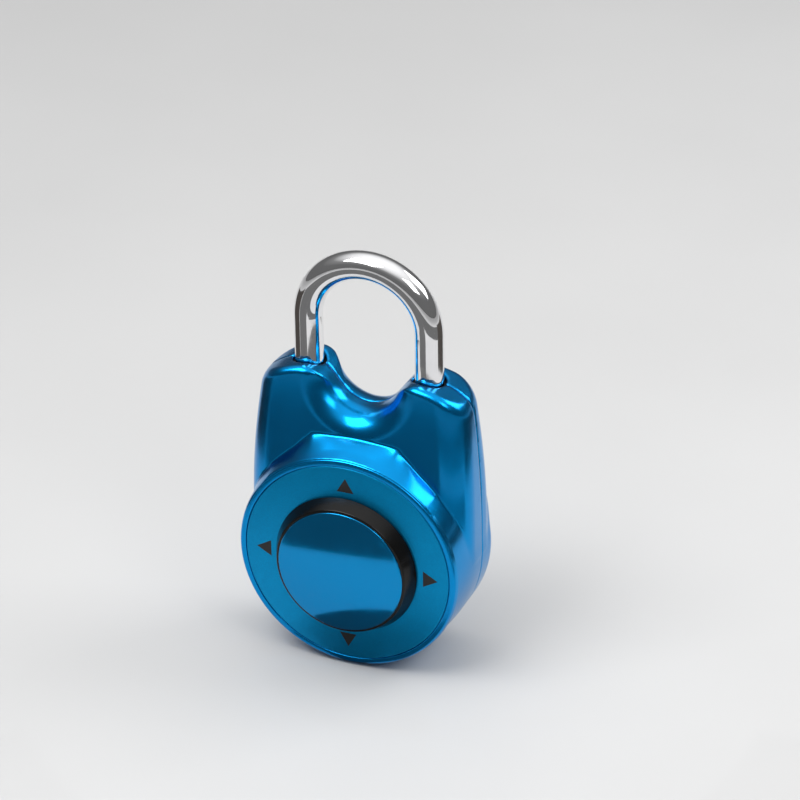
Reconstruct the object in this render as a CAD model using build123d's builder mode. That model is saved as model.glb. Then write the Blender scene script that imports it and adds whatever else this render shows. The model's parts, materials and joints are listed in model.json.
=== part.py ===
from build123d import *
import math
import os

# Combination padlock with a four-way sliding dial.
# Frame: X to the lock's right, Y from the dial towards the back, Z up.  The origin is the underside of
# the shackle's bow, in the plane of the legs, where the lock hangs from a hasp.  Millimetres.

# ---------------------------------------------------------------- driving dimensions
# shackle
BAR_R = 3.5                 # 7 mm round bar
LEG_X = 15.4                # each leg's distance from the middle
BOW_R = LEG_X - BAR_R       # inside radius of the bow
BOW_Z = -BOW_R              # height of the bow's centre
PRESS = 1.5                 # travel downwards, which clears the wheels
TOE_Z = -42.7               # end of the short leg, on the right
HEEL_Z = -49.6              # end of the long leg, on the left

# case
DIAL_Z = -68.9              # height of the dial's centre
FACE_Y = -15.9              # front of the rim and of the disc
BACK_Y = 9.0                # back of the case
DRUM_R = 28.6               # round lower half of the case
RIM_R = 27.8                # outside of the rim at the face
COLLAR_DEPTH = 2.7          # the rim widens to the drum over this depth
BACK_ROUND = 3.5            # rounding of the drum's back edge
WALL = 2.0
SHOULDER_R = 19.1           # crown of each shoulder, seen from the front
SHOULDER_X = 13.0
SHOULDER_TOP_Z = -22.9
NOTCH_Z = -23.9             # centre of the U between the shoulders
NOTCH_R = 8.7
NOTCH_FLAT = 2.5            # half the depth of the straight middle of the U
NOTCH_FLARE = 4.6           # rounding of its front and back edges
PAD_TOP = 30.8              # straight top edge of the pad over the dial, above the dial axis
PAD_START = 0.6             # the pad slopes back from the rim, beginning at this depth
PAD_END = 6.6               # and reaching its top edge at this one
PAD_CORNER = 20.3           # its upper corners, in degrees from straight up
PAD_FOOT = 35.5             # its flanks run out here
PAD_FOOT_R = 29.4
PAD_BASE = 15.0             # inside the case, well below the surface

# dial and its slides
DISC_R = 26.25
DISC_T = 1.4
LEDGE_T = 1.2
WINDOW_R = 19.5             # opening in the ledge behind the disc
TRAVEL = 3.0                # of the dial, each way
GAP = 0.3                   # free space between parts that slide past each other
SKIRT_R = 18.2
SKIRT_TOP_R = 16.6
SKIRT_H = 3.7
CAP_R = 16.0
CAP_EDGE_Y = FACE_Y - 4.25
CAP_CROWN = 1.6
CAP_SPHERE_R = (CAP_R ** 2 + CAP_CROWN ** 2) / (2 * CAP_CROWN)
ARROW_TIP_R = 23.4
ARROW_BASE_R = 19.7
ARROW_W = 4.3
ARROW_T = 0.15
ARROW_CORNERS = [(ARROW_BASE_R, -ARROW_W / 2), (ARROW_TIP_R, 0), (ARROW_BASE_R, ARROW_W / 2)]
FIT = 0.05                  # running fit on each side of a guide or shaft

# inside the dial: stem, slide and their guides
STEM_R = 6.0
STEM_WINDOW = STEM_R + TRAVEL + 0.5
SHAFT_R = 1.6               # shaft that carries the pawls
SHAFT_WINDOW = SHAFT_R + TRAVEL + GAP
SLIDER_HALF = 7.0           # half side of the stem's plate
SLIDER_T = 1.2
SLOT_W = 6.1
SLOT_END = 14.4
COVER_R = 13.0
COVER_T = 0.6
CARRIAGE_HALF_W = 9.0
CARRIAGE_HALF_H = 18.2
CARRIAGE_T = 1.2
TONGUE_Z = 17.0
TONGUE_W = 2.1
TONGUE_L = 6.0
CHASSIS_R = 24.0
LUG_X = 17.5
LUG_T = 1.4
SPRING_WIRE_R = 0.2
SPRING_OUT_R = 1.1
PAWL_REACH = 2.2
PAWL_W = 1.2
PAWL_T = 1.2

# wheel pack
WHEEL_XZ = 10.7             # each wheel post's distance from the dial axis, along X and along Z
WHEEL_R = 8.4
TEETH = 12
TOOTH_H = 1.1
DISC_GATE_R = 7.6
GATE_W = 2.6
GATE_DEPTH = 2.3
POST_R = 1.5
HUB_R = 3.0
PACK_SCREW_R = 21.5         # distance of the pack's three screws from the dial axis
TOOTH_GAP = 2.2
LEAF_T = 0.3
LEAF_L = 7.0
STANDOFF_R = 1.9
PACK_PLATE_TOP = 17.5       # flat top of the plate behind the wheels, above the dial axis
SPINE_W = 5.0
FENCE_HEAD = 30.9           # top of the fence above the dial axis
FENCE_FOOT = -12.5
FENCE_HALF_W = 11.2
FENCE_SEAT_Z = DIAL_Z - 18.0
FINGER_W = 2.2
FINGER_H = 2.0

# depths of the layers, front to back
COVER_Y = -13.6             # back of the dust cover
SLIDER_Y = -12.1            # back of the stem's plate
CARRIAGE_Y = -10.7          # back of the left-right carriage
CHASSIS_FRONT_Y = -10.5
CHASSIS_Y = -9.3
WHEEL_FRONT_Y = -8.6
WHEEL_BACK_Y = -6.8
GATE_FRONT_Y = -6.4
GATE_BACK_Y = -5.2
HUB_BACK_Y = -4.0
POST_END_Y = -3.0
FENCE_FRONT_Y = -2.6
FENCE_BACK_Y = -1.4
PACK_PLATE_FRONT_Y = -0.9
PACK_PLATE_Y = 0.1

# screws and bosses
BOSS_R = 2.3
SCREW_R = 0.8
SCREW_GRIP = 2.2            # depth of thread in a boss
SCREW_HEAD_R = 1.7
SCREW_HEAD_H = 0.9
BUSH_R = 4.7                # outside of the bush round each leg
LEG_HOLE_R = 4.0            # hole in the shoulder above the bush

# latch
LATCH_TOP_Z = -36.2
LATCH_H = 3.0
LATCH_D = 4.0
LATCH_THROW = 1.6
LATCH_TIP_X = BOW_R - GAP   # withdrawn
LATCH_ROOT_X = 4.2
HOUSING_HALF_W = 10.8
HOUSING_D = 6.0
HOUSING_TOP_Z = -35.4
HOUSING_BOTTOM_Z = -40.4
LATCH_SCREWS = [(-8.0, -42.4), (8.0, -42.4)]

# what raises and keeps the shackle
CLIP_Z = -48.6
CLIP_T = 0.8
CLIP_R = 4.1
CLIP_BORE_R = 2.7
CLIP_FLAT = 3.35            # from the leg's middle to the flat that passes the bolt
BUSH_H = 1.9
BUSH_Z = SHOULDER_TOP_Z - 4.3      # underside of the bushes
CUP_Z = -62.0
CUP_R = 3.4
CUP_H = 4.0
SHACKLE_WIRE_R = 0.35
SHACKLE_COIL_R = 2.2

# reset lever
LEVER_Z = DIAL_Z + 15.0
LEVER_TRAVEL = 4.0
NIB_W = 2.8
NIB_H = 3.2

MIDDLE = (0, 0, DIAL_Z)
DIAL_AXIS = Axis(MIDDLE, (0, 1, 0))
WHEEL_PLACES = [(x, z) for z in (WHEEL_XZ, -WHEEL_XZ) for x in (-WHEEL_XZ, WHEEL_XZ)]
SCREW_PLACES = [(-PACK_SCREW_R, 0), (PACK_SCREW_R, 0), (0, -PACK_SCREW_R)]

os.makedirs("parts", exist_ok=True)


def facing(y, centre_z=DIAL_Z):
    """Upright plane at depth y, looking forwards: sketch x is X, sketch y is Z from centre_z."""
    return Plane(origin=(0, y, centre_z), x_dir=(1, 0, 0), z_dir=(0, -1, 0))


def side_on(centre_z):
    """Upright plane through the middle, for turned shapes: sketch x is Y, sketch y is the radius."""
    return Plane(origin=(0, 0, centre_z), x_dir=(0, 1, 0), z_dir=(1, 0, 0))


def save(piece, name):
    """Label a finished piece and write it to its own file."""
    piece.part.label = name
    export_step(piece.part, f"parts/{name}.step")


def coil_spring(wire_r, coil_r, length, turns, start, direction):
    """Open coil spring along direction, its wire's middle starting at start."""
    with BuildPart() as spring:
        with BuildLine() as path:
            Helix(length / turns, length, coil_r, center=start, direction=direction)
        with BuildSketch(Plane(origin=path.line @ 0, z_dir=path.line % 0)):
            Circle(wire_r)
        sweep(is_frenet=True)
    return spring


# ---------------------------------------------------------------- the case
def notch_profile(inset):
    """Half outline of the U between the shoulders: half width against depth, flaring at both faces."""
    narrow = NOTCH_R + inset
    flare = NOTCH_FLARE
    wide = narrow + flare
    end = 40
    with BuildLine() as outline:
        Line((-end, 0), (-end, wide))
        Line((-end, wide), (-NOTCH_FLAT - flare + inset, wide))
        RadiusArc(
            (-NOTCH_FLAT - flare + inset, wide), (-NOTCH_FLAT + inset, narrow), -flare
        )
        Line((-NOTCH_FLAT + inset, narrow), (NOTCH_FLAT - inset, narrow))
        RadiusArc(
            (NOTCH_FLAT - inset, narrow), (NOTCH_FLAT + flare - inset, wide), -flare
        )
        Line((NOTCH_FLAT + flare - inset, wide), (end, wide))
        Line((end, wide), (end, 0))
        Line((end, 0), (-end, 0))
    return outline.line


def notch_form(inset):
    """Everything that the U between the shoulders takes away."""
    top = 30
    with BuildPart() as notch:
        with BuildSketch(side_on(NOTCH_Z)):
            with BuildLine():
                add(notch_profile(inset))
            make_face()
        revolve(axis=Axis((0, 0, NOTCH_Z), (0, 1, 0)))
        with BuildSketch(Plane(origin=(0, 0, NOTCH_Z), x_dir=(0, 1, 0), z_dir=(0, 0, 1))) as plan:
            with BuildLine():
                add(notch_profile(inset))
            make_face()
            mirror(about=Plane.XZ)
        extrude(amount=top)
    return notch.part


def upper_form(inset):
    """The upper half of the case: plan sections from the dial's centre up to the shoulders."""
    # height above the dial's centre, half width, front and back measured from the face
    sections = [
        (0, 28.5, 5.0, 24.8),
        (19, 28.3, 5.2, 24.5),
        (33, 27.3, 6.6, 23.8),
        (47, 25.6, 9.0, 22.8),
    ]
    corner = 6.8
    with BuildPart() as upper:
        for height, half_width, front, back in sections:
            middle_y = FACE_Y + (front + back) / 2
            plan = Plane(origin=(0, middle_y, DIAL_Z + height), z_dir=(0, 0, 1))
            with BuildSketch(plan):
                RectangleRounded(
                    2 * (half_width - inset), back - front - 2 * inset, corner - inset
                )
        loft()
        # crowned shoulders
        crown_z = SHOULDER_TOP_Z - SHOULDER_R
        with BuildSketch(facing(30, crown_z)):
            with Locations((-SHOULDER_X, 0), (SHOULDER_X, 0)):
                Circle(SHOULDER_R - inset)
            Rectangle(2 * SHOULDER_X, SHOULDER_R - inset, align=(Align.CENTER, Align.MIN))
            Rectangle(80, 60, align=(Align.CENTER, Align.MAX))
        extrude(amount=60, mode=Mode.INTERSECT)
        add(notch_form(inset), mode=Mode.SUBTRACT)
    return upper


def drum_form(inset):
    """The round lower half of the case, turned about the dial axis."""
    front = FACE_Y + inset
    back = BACK_Y - inset
    rim = RIM_R - inset
    radius = DRUM_R - inset
    bend = BACK_ROUND - inset
    with BuildPart() as drum:
        with BuildSketch(side_on(DIAL_Z)):
            with BuildLine():
                Polyline(
                    (back, 0),
                    (front, 0),
                    (front, rim),
                    (front + COLLAR_DEPTH, radius),
                    (back - bend, radius),
                )
                RadiusArc((back - bend, radius), (back, radius - bend), bend)
                Line((back, radius - bend), (back, 0))
            make_face()
        revolve(axis=DIAL_AXIS)
    return drum.part


def around(radius, angle):
    """Point in a face sketch at an angle from straight up."""
    return (radius * math.sin(math.radians(angle)), radius * math.cos(math.radians(angle)))


def pad_form(inset):
    """The pad over the dial, ruled from the rim's arc back to a straight top edge."""
    rim = RIM_R - inset
    foot_r = PAD_FOOT_R - inset
    corner_r = PAD_TOP / math.cos(math.radians(PAD_CORNER)) - inset
    with BuildPart() as pad:
        with BuildSketch(facing(FACE_Y + PAD_START + inset)):
            with BuildLine():
                CenterArc((0, 0), rim, 90 - PAD_FOOT, PAD_FOOT - PAD_CORNER)
                CenterArc((0, 0), rim, 90 - PAD_CORNER, 2 * PAD_CORNER)
                CenterArc((0, 0), rim, 90 + PAD_CORNER, PAD_FOOT - PAD_CORNER)
                left = around(rim, -PAD_FOOT)
                right = around(rim, PAD_FOOT)
                Polyline(left, (left[0], PAD_BASE), (right[0], PAD_BASE), right)
            make_face()
        with BuildSketch(facing(FACE_Y + PAD_END + inset)):
            with BuildLine():
                left = around(foot_r, -PAD_FOOT)
                right = around(foot_r, PAD_FOOT)
                Polyline(
                    right,
                    around(corner_r, PAD_CORNER),
                    around(corner_r, -PAD_CORNER),
                    left,
                    (left[0], PAD_BASE),
                    (right[0], PAD_BASE),
                    close=True,
                )
            make_face()
        loft(ruled=True)
    return pad.part


def case_form(inset):
    """The whole case as one closed form."""
    with BuildPart() as form:
        add(upper_form(inset).part)
        add(drum_form(inset))
        add(pad_form(inset))
    return form.part


with BuildPart() as case_skin:
    add(case_form(0))
    add(case_form(WALL), mode=Mode.SUBTRACT)
    # legs' bosses under the shoulders
    with BuildSketch(Plane.XY.offset(BUSH_Z)):
        with Locations((-LEG_X, 0), (LEG_X, 0)):
            Circle(BUSH_R + 1.3)
    extrude(amount=3.0)
    with BuildSketch(Plane.XY.offset(BUSH_Z)):
        with Locations((-LEG_X, 0), (LEG_X, 0)):
            Circle(BUSH_R)
    extrude(amount=BUSH_H, mode=Mode.SUBTRACT)
    with BuildSketch(Plane.XY.offset(BUSH_Z)):
        with Locations((-LEG_X, 0), (LEG_X, 0)):
            Circle(LEG_HOLE_R)
    extrude(amount=8, mode=Mode.SUBTRACT)

with BuildPart() as front_shell:
    add(case_skin.part)
    split(bisect_by=Plane.XZ, keep=Keep.TOP)
    # ledge behind the disc, then the recess for the disc and the window for the stem
    with BuildSketch(facing(FACE_Y + DISC_T + LEDGE_T)):
        Circle(RIM_R - 1)
    extrude(amount=LEDGE_T)
    with BuildSketch(facing(FACE_Y + DISC_T)):
        Circle(DISC_R + FIT)
    extrude(amount=DISC_T, mode=Mode.SUBTRACT)
    with BuildSketch(facing(FACE_Y + 6)):
        Circle(WINDOW_R)
    extrude(amount=8, mode=Mode.SUBTRACT)
    # bosses for the wheel pack
    with BuildSketch(facing(CHASSIS_FRONT_Y)):
        with Locations(*SCREW_PLACES):
            Circle(BOSS_R)
    extrude(amount=CHASSIS_FRONT_Y - FACE_Y - DISC_T - LEDGE_T)
    with BuildSketch(facing(CHASSIS_FRONT_Y)):
        with Locations(*SCREW_PLACES):
            Circle(SCREW_R)
    extrude(amount=SCREW_GRIP, mode=Mode.SUBTRACT)
save(front_shell, "front_shell")

with BuildPart() as rear_shell:
    add(case_skin.part)
    split(bisect_by=Plane.XZ, keep=Keep.BOTTOM)
    # bosses for the latch housing
    with BuildSketch(facing(BACK_Y - WALL + 0.5, 0)):
        with Locations(*LATCH_SCREWS):
            Circle(BOSS_R)
    extrude(amount=BACK_Y - WALL + 0.5 - HOUSING_D / 2)
    with BuildSketch(facing(BACK_Y - WALL, 0)):
        with Locations(*LATCH_SCREWS):
            Circle(SCREW_R)
    extrude(amount=8, mode=Mode.SUBTRACT)
    # slot for the reset lever's nib
    with BuildSketch(facing(BACK_Y + 1, LEVER_Z)):
        with Locations((0, LEVER_TRAVEL / 2)):
            SlotOverall(NIB_H + LEVER_TRAVEL + 2 * GAP, NIB_W + 2 * GAP, rotation=90)
    extrude(amount=6, mode=Mode.SUBTRACT)
save(rear_shell, "rear_shell")

# ---------------------------------------------------------------- the face
with BuildPart() as face_disc:
    with BuildSketch(facing(FACE_Y + DISC_T)):
        Circle(DISC_R)
        RectangleRounded(2 * STEM_WINDOW, 2 * STEM_WINDOW, 1.5, mode=Mode.SUBTRACT)
    extrude(amount=DISC_T)
    with BuildSketch(facing(FACE_Y + ARROW_T)):
        with PolarLocations(0, 4):
            Polygon(*ARROW_CORNERS, align=None)
    extrude(amount=ARROW_T, mode=Mode.SUBTRACT)
save(face_disc, "face_disc")

with BuildPart() as direction_arrows:
    with BuildSketch(facing(FACE_Y + ARROW_T)):
        with PolarLocations(0, 4):
            Polygon(*ARROW_CORNERS, align=None)
    extrude(amount=ARROW_T)
save(direction_arrows, "direction_arrows")

# ---------------------------------------------------------------- the dial
SKIRT_BACK_Y = FACE_Y - GAP
SKIRT_FRONT_Y = SKIRT_BACK_Y - SKIRT_H
SOCKET_Y = SKIRT_BACK_Y - 1.2       # floor of the skirt, where the cap sits

with BuildPart() as dial_skirt:
    with BuildSketch(side_on(DIAL_Z)):
        with BuildLine():
            Polyline(
                (SKIRT_FRONT_Y, CAP_R + FIT),
                (SKIRT_FRONT_Y, SKIRT_TOP_R),
                (SKIRT_BACK_Y, SKIRT_R),
                (SKIRT_BACK_Y, STEM_R + FIT),
                (SOCKET_Y, STEM_R + FIT),
                (SOCKET_Y, CAP_R + FIT),
                close=True,
            )
        make_face()
    revolve(axis=DIAL_AXIS)
save(dial_skirt, "dial_skirt")

with BuildPart() as dial_cap:
    with BuildSketch(side_on(DIAL_Z)):
        with BuildLine():
            Polyline((CAP_EDGE_Y - CAP_CROWN, 0), (SOCKET_Y, 0), (SOCKET_Y, CAP_R), (CAP_EDGE_Y, CAP_R))
            RadiusArc((CAP_EDGE_Y, CAP_R), (CAP_EDGE_Y - CAP_CROWN, 0), -CAP_SPHERE_R)
        make_face()
    revolve(axis=DIAL_AXIS)
save(dial_cap, "dial_cap")

# the stem: neck, plate, guide block in the carriage's slot, and a shaft back to the pawls
with BuildPart() as dial_stem:
    with BuildSketch(facing(SLIDER_Y)):
        RectangleRounded(2 * SLIDER_HALF, SLOT_W, 1.0)
    extrude(amount=SLIDER_T)
    with BuildSketch(facing(SLIDER_Y - SLIDER_T)):
        Circle(STEM_R)
    extrude(amount=SLIDER_Y - SLIDER_T - SOCKET_Y)
    with BuildSketch(facing(CARRIAGE_Y)):
        Rectangle(SLOT_W - 2 * FIT, SLOT_W)
    extrude(amount=CARRIAGE_Y - SLIDER_Y)
    with BuildSketch(facing(WHEEL_BACK_Y)):
        Circle(SHAFT_R)
    extrude(amount=WHEEL_BACK_Y - CARRIAGE_Y)
save(dial_stem, "dial_stem")

with BuildPart() as dust_cover:
    with BuildSketch(facing(COVER_Y)):
        Circle(COVER_R)
        Circle(STEM_R + FIT, mode=Mode.SUBTRACT)
    extrude(amount=COVER_T)
save(dust_cover, "dust_cover")


def pawl(angle):
    """One driving finger, standing out from the stem's shaft between two wheels."""
    with BuildPart() as finger:
        with BuildSketch(facing(WHEEL_BACK_Y - 0.2)):
            with PolarLocations(0, 1, start_angle=angle):
                Polygon(
                    (0, -PAWL_W / 2),
                    (PAWL_REACH, -PAWL_W / 2),
                    (PAWL_REACH + 0.5, 0),
                    (PAWL_REACH, PAWL_W / 2),
                    (0, PAWL_W / 2),
                    align=None,
                )
            Circle(SHAFT_R, mode=Mode.SUBTRACT)
        extrude(amount=PAWL_T)
    return finger


for side, angle in (("right", 0), ("up", 90), ("left", 180), ("down", 270)):
    save(pawl(angle), f"pawl_{side}")

# ---------------------------------------------------------------- the slide
with BuildPart() as slide_carriage:
    with BuildSketch(facing(CARRIAGE_Y)):
        RectangleRounded(2 * CARRIAGE_HALF_W, 2 * CARRIAGE_HALF_H, 1.0)
        Rectangle(SLOT_W, 2 * SLOT_END, mode=Mode.SUBTRACT)
    extrude(amount=CARRIAGE_T)
    with BuildSketch(facing(CHASSIS_Y)):
        with Locations((0, -TONGUE_Z), (0, TONGUE_Z)):
            Rectangle(TONGUE_L, TONGUE_W - 2 * FIT)
    extrude(amount=CHASSIS_Y - CARRIAGE_Y)
save(slide_carriage, "slide_carriage")

with BuildPart() as chassis_plate:
    with BuildSketch(facing(CHASSIS_Y)):
        Circle(CHASSIS_R)
        Rectangle(2 * SHAFT_WINDOW, 2 * SHAFT_WINDOW, mode=Mode.SUBTRACT)
        with Locations((0, -TONGUE_Z), (0, TONGUE_Z)):
            Rectangle(TONGUE_L + 2 * (TRAVEL + GAP), TONGUE_W, mode=Mode.SUBTRACT)
        with Locations(*SCREW_PLACES):
            Circle(SCREW_R + FIT, mode=Mode.SUBTRACT)
        with Locations(*WHEEL_PLACES):
            Circle(POST_R, mode=Mode.SUBTRACT)
    extrude(amount=CHASSIS_Y - CHASSIS_FRONT_Y)
    # lugs that the sideways springs push on
    with BuildSketch(facing(CHASSIS_FRONT_Y)):
        with Locations((-LUG_X, 0), (LUG_X, 0)):
            Rectangle(LUG_T, 5.0)
    extrude(amount=2.4)
save(chassis_plate, "chassis_plate")

SIDE_SPRING_Y = CHASSIS_FRONT_Y - SPRING_OUT_R - 0.05
for side, sign in (("left", -1), ("right", 1)):
    start = (sign * (CARRIAGE_HALF_W + SPRING_WIRE_R), SIDE_SPRING_Y, DIAL_Z)
    length = LUG_X - LUG_T / 2 - CARRIAGE_HALF_W - 2 * SPRING_WIRE_R
    spring = coil_spring(
        SPRING_WIRE_R, SPRING_OUT_R - SPRING_WIRE_R, length, 5, start, (sign, 0, 0)
    )
    save(spring, f"centring_spring_{side}")

RISE_SPRING_Y = CHASSIS_FRONT_Y - SPRING_OUT_R - 0.1
for side, sign in (("upper", 1), ("lower", -1)):
    start = (0, RISE_SPRING_Y, DIAL_Z + sign * (SLOT_W / 2 + SPRING_WIRE_R))
    length = SLOT_END - SLOT_W / 2 - 2 * SPRING_WIRE_R
    spring = coil_spring(
        SPRING_WIRE_R, SPRING_OUT_R - SPRING_WIRE_R, length, 7, start, (0, 0, sign)
    )
    save(spring, f"centring_spring_{side}")

# ---------------------------------------------------------------- the wheel pack
with BuildPart() as wheel_posts:
    with BuildSketch(facing(POST_END_Y)):
        with Locations(*WHEEL_PLACES):
            Circle(POST_R)
    extrude(amount=POST_END_Y - CHASSIS_FRONT_Y)
    with BuildSketch(facing(POST_END_Y)):
        with Locations(*WHEEL_PLACES):
            Circle(POST_R + 0.7)
    extrude(amount=0.7)
save(wheel_posts, "wheel_posts")


def code_wheel(x, z):
    """Ratchet wheel with its hub."""
    with BuildPart() as wheel:
        with BuildSketch(facing(WHEEL_BACK_Y)):
            with Locations((x, z)):
                Circle(WHEEL_R)
                with PolarLocations(WHEEL_R, TEETH):
                    Rectangle(2 * TOOTH_H, TOOTH_GAP, rotation=12, mode=Mode.SUBTRACT)
        extrude(amount=WHEEL_BACK_Y - WHEEL_FRONT_Y)
        with BuildSketch(facing(HUB_BACK_Y)):
            with Locations((x, z)):
                Circle(HUB_R)
        extrude(amount=HUB_BACK_Y - WHEEL_BACK_Y)
        with BuildSketch(facing(HUB_BACK_Y)):
            with Locations((x, z)):
                Circle(POST_R + FIT)
        extrude(amount=10, both=True, mode=Mode.SUBTRACT)
    return wheel


def code_disc(x, z):
    """Gated disc pressed on a wheel's hub."""
    with BuildPart() as disc:
        with BuildSketch(facing(GATE_BACK_Y)):
            with Locations((x, z)):
                Circle(DISC_GATE_R)
                Circle(HUB_R, mode=Mode.SUBTRACT)
            with Locations((x, z + DISC_GATE_R)):
                Rectangle(GATE_W, 2 * GATE_DEPTH, mode=Mode.SUBTRACT)
        extrude(amount=GATE_BACK_Y - GATE_FRONT_Y)
    return disc


for number, (x, z) in enumerate(WHEEL_PLACES, start=1):
    save(code_wheel(x, z), f"code_wheel_{number}")
    save(code_disc(x, z), f"code_disc_{number}")

# leaf springs that click into the wheels' teeth, standing on the chassis outside each wheel
with BuildPart() as detent_springs:
    for x, z in WHEEL_PLACES:
        outward = 1 if x > 0 else -1
        with BuildSketch(facing(CHASSIS_Y)):
            with Locations((x + outward * (WHEEL_R + GAP + LEAF_T / 2), z)):
                Rectangle(LEAF_T, LEAF_L)
        extrude(amount=-(WHEEL_BACK_Y - CHASSIS_Y))
save(detent_springs, "detent_springs")

with BuildPart() as mechanism_plate:
    with BuildSketch(facing(PACK_PLATE_Y)):
        Circle(CHASSIS_R)
        with Locations((0, PACK_PLATE_TOP)):
            Rectangle(60, 20, align=(Align.CENTER, Align.MIN), mode=Mode.SUBTRACT)
        with Locations((-LEG_X, PACK_PLATE_TOP)):
            Rectangle(9.0, 26.0, mode=Mode.SUBTRACT)
        with Locations(*SCREW_PLACES):
            Circle(SCREW_R + FIT, mode=Mode.SUBTRACT)
    extrude(amount=PACK_PLATE_Y - PACK_PLATE_FRONT_Y)
    # seat for the fence's spring
    with BuildSketch(facing(PACK_PLATE_FRONT_Y, FENCE_SEAT_Z)):
        Rectangle(5, 1.4, align=(Align.CENTER, Align.MAX))
    extrude(amount=2.6)
save(mechanism_plate, "mechanism_plate")

with BuildPart() as standoffs:
    with BuildSketch(facing(PACK_PLATE_FRONT_Y)):
        with Locations(*SCREW_PLACES):
            Circle(STANDOFF_R)
            Circle(SCREW_R + FIT, mode=Mode.SUBTRACT)
    extrude(amount=PACK_PLATE_FRONT_Y - CHASSIS_Y)
save(standoffs, "standoffs")

with BuildPart() as mechanism_screws:
    with BuildSketch(facing(PACK_PLATE_Y)):
        with Locations(*SCREW_PLACES):
            Circle(SCREW_R)
    extrude(amount=PACK_PLATE_Y - CHASSIS_FRONT_Y + SCREW_GRIP)
    with BuildSketch(facing(PACK_PLATE_Y + SCREW_HEAD_H)):
        with Locations(*SCREW_PLACES):
            Circle(SCREW_HEAD_R)
            Rectangle(0.5, 2 * SCREW_HEAD_R - 0.8, mode=Mode.SUBTRACT)
            Rectangle(2 * SCREW_HEAD_R - 0.8, 0.5, mode=Mode.SUBTRACT)
    extrude(amount=SCREW_HEAD_H)
save(mechanism_screws, "mechanism_screws")

# ---------------------------------------------------------------- fence
UPPER_FINGER = WHEEL_XZ + DISC_GATE_R + 0.4
LOWER_FINGER = -WHEEL_XZ + DISC_GATE_R + 0.4

with BuildPart() as fence:
    with BuildSketch(facing(FENCE_BACK_Y)):
        with Locations((0, FENCE_FOOT)):
            Rectangle(SPINE_W, FENCE_HEAD - FENCE_FOOT, align=(Align.CENTER, Align.MIN))
        with Locations((0, UPPER_FINGER), (0, LOWER_FINGER)):
            Rectangle(2 * FENCE_HALF_W, FINGER_H, align=(Align.CENTER, Align.MIN))
    extrude(amount=FENCE_BACK_Y - FENCE_FRONT_Y)
    with BuildSketch(facing(FENCE_FRONT_Y)):
        with Locations((0, UPPER_FINGER), (0, LOWER_FINGER)):
            with Locations((-WHEEL_XZ, 0), (WHEEL_XZ, 0)):
                Rectangle(FINGER_W, FINGER_H, align=(Align.CENTER, Align.MIN))
    extrude(amount=FENCE_FRONT_Y - GATE_FRONT_Y)
save(fence, "fence")

FENCE_SPRING_TOP = DIAL_Z + FENCE_FOOT - SPRING_WIRE_R
fence_spring = coil_spring(
    SPRING_WIRE_R,
    SPRING_OUT_R - SPRING_WIRE_R,
    FENCE_SPRING_TOP - FENCE_SEAT_Z - SPRING_WIRE_R,
    4,
    (0, (FENCE_FRONT_Y + FENCE_BACK_Y) / 2 - 0.2, FENCE_SEAT_Z + SPRING_WIRE_R),
    (0, 0, 1),
)
save(fence_spring, "fence_spring")

# ---------------------------------------------------------------- latch
LATCH_MID_Z = LATCH_TOP_Z - LATCH_H / 2

for side, sign in (("left", -1), ("right", 1)):
    with BuildPart() as latch_bolt:
        with Locations((sign * (LATCH_ROOT_X + LATCH_TIP_X) / 2, 0, LATCH_MID_Z)):
            Box(LATCH_TIP_X - LATCH_ROOT_X, LATCH_D, LATCH_H)
        tip = latch_bolt.faces().sort_by(Axis((0, 0, 0), (sign, 0, 0)))[-1]
        chamfer(tip.edges().filter_by(Axis.Y), 0.5)
    save(latch_bolt, f"latch_bolt_{side}")

with BuildPart() as latch_housing:
    with Locations((0, 0, (HOUSING_TOP_Z + HOUSING_BOTTOM_Z) / 2)):
        Box(2 * HOUSING_HALF_W, HOUSING_D, HOUSING_TOP_Z - HOUSING_BOTTOM_Z)
    with Locations((0, HOUSING_D / 2 - 0.85, HOUSING_BOTTOM_Z - 2)):
        Box(2 * HOUSING_HALF_W, 1.7, 4.4)
    with Locations((0, 0, LATCH_MID_Z)):
        Box(60, LATCH_D + 2 * FIT, LATCH_H + 2 * FIT, mode=Mode.SUBTRACT)
    # room for the fence's head and for the spring between the bolts
    with Locations((0, -1.2, HOUSING_BOTTOM_Z)):
        Box(SPINE_W + 1.0, 4.6, 8, mode=Mode.SUBTRACT)
    with BuildSketch(facing(20, 0)):
        with Locations(*LATCH_SCREWS):
            Circle(SCREW_R + FIT)
    extrude(amount=40, mode=Mode.SUBTRACT)
save(latch_housing, "latch_housing")

latch_spring = coil_spring(
    SPRING_WIRE_R,
    0.75,
    2 * (LATCH_ROOT_X - SPRING_WIRE_R),
    8,
    (-LATCH_ROOT_X + SPRING_WIRE_R, 0.85, LATCH_MID_Z),
    (1, 0, 0),
)
save(latch_spring, "latch_spring")

with BuildPart() as latch_screws:
    with BuildSketch(facing(BACK_Y - WALL, 0)):
        with Locations(*LATCH_SCREWS):
            Circle(SCREW_R)
    extrude(amount=BACK_Y - WALL - HOUSING_D / 2 + 1.7)
    with BuildSketch(facing(HOUSING_D / 2 - 1.7, 0)):
        with Locations(*LATCH_SCREWS):
            Circle(SCREW_HEAD_R)
            Rectangle(0.5, 2 * SCREW_HEAD_R - 0.8, mode=Mode.SUBTRACT)
            Rectangle(2 * SCREW_HEAD_R - 0.8, 0.5, mode=Mode.SUBTRACT)
    extrude(amount=SCREW_HEAD_H)
save(latch_screws, "latch_screws")

# ---------------------------------------------------------------- shackle
NOTCH_FLOOR_X = LATCH_TIP_X + LATCH_THROW + GAP

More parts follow.
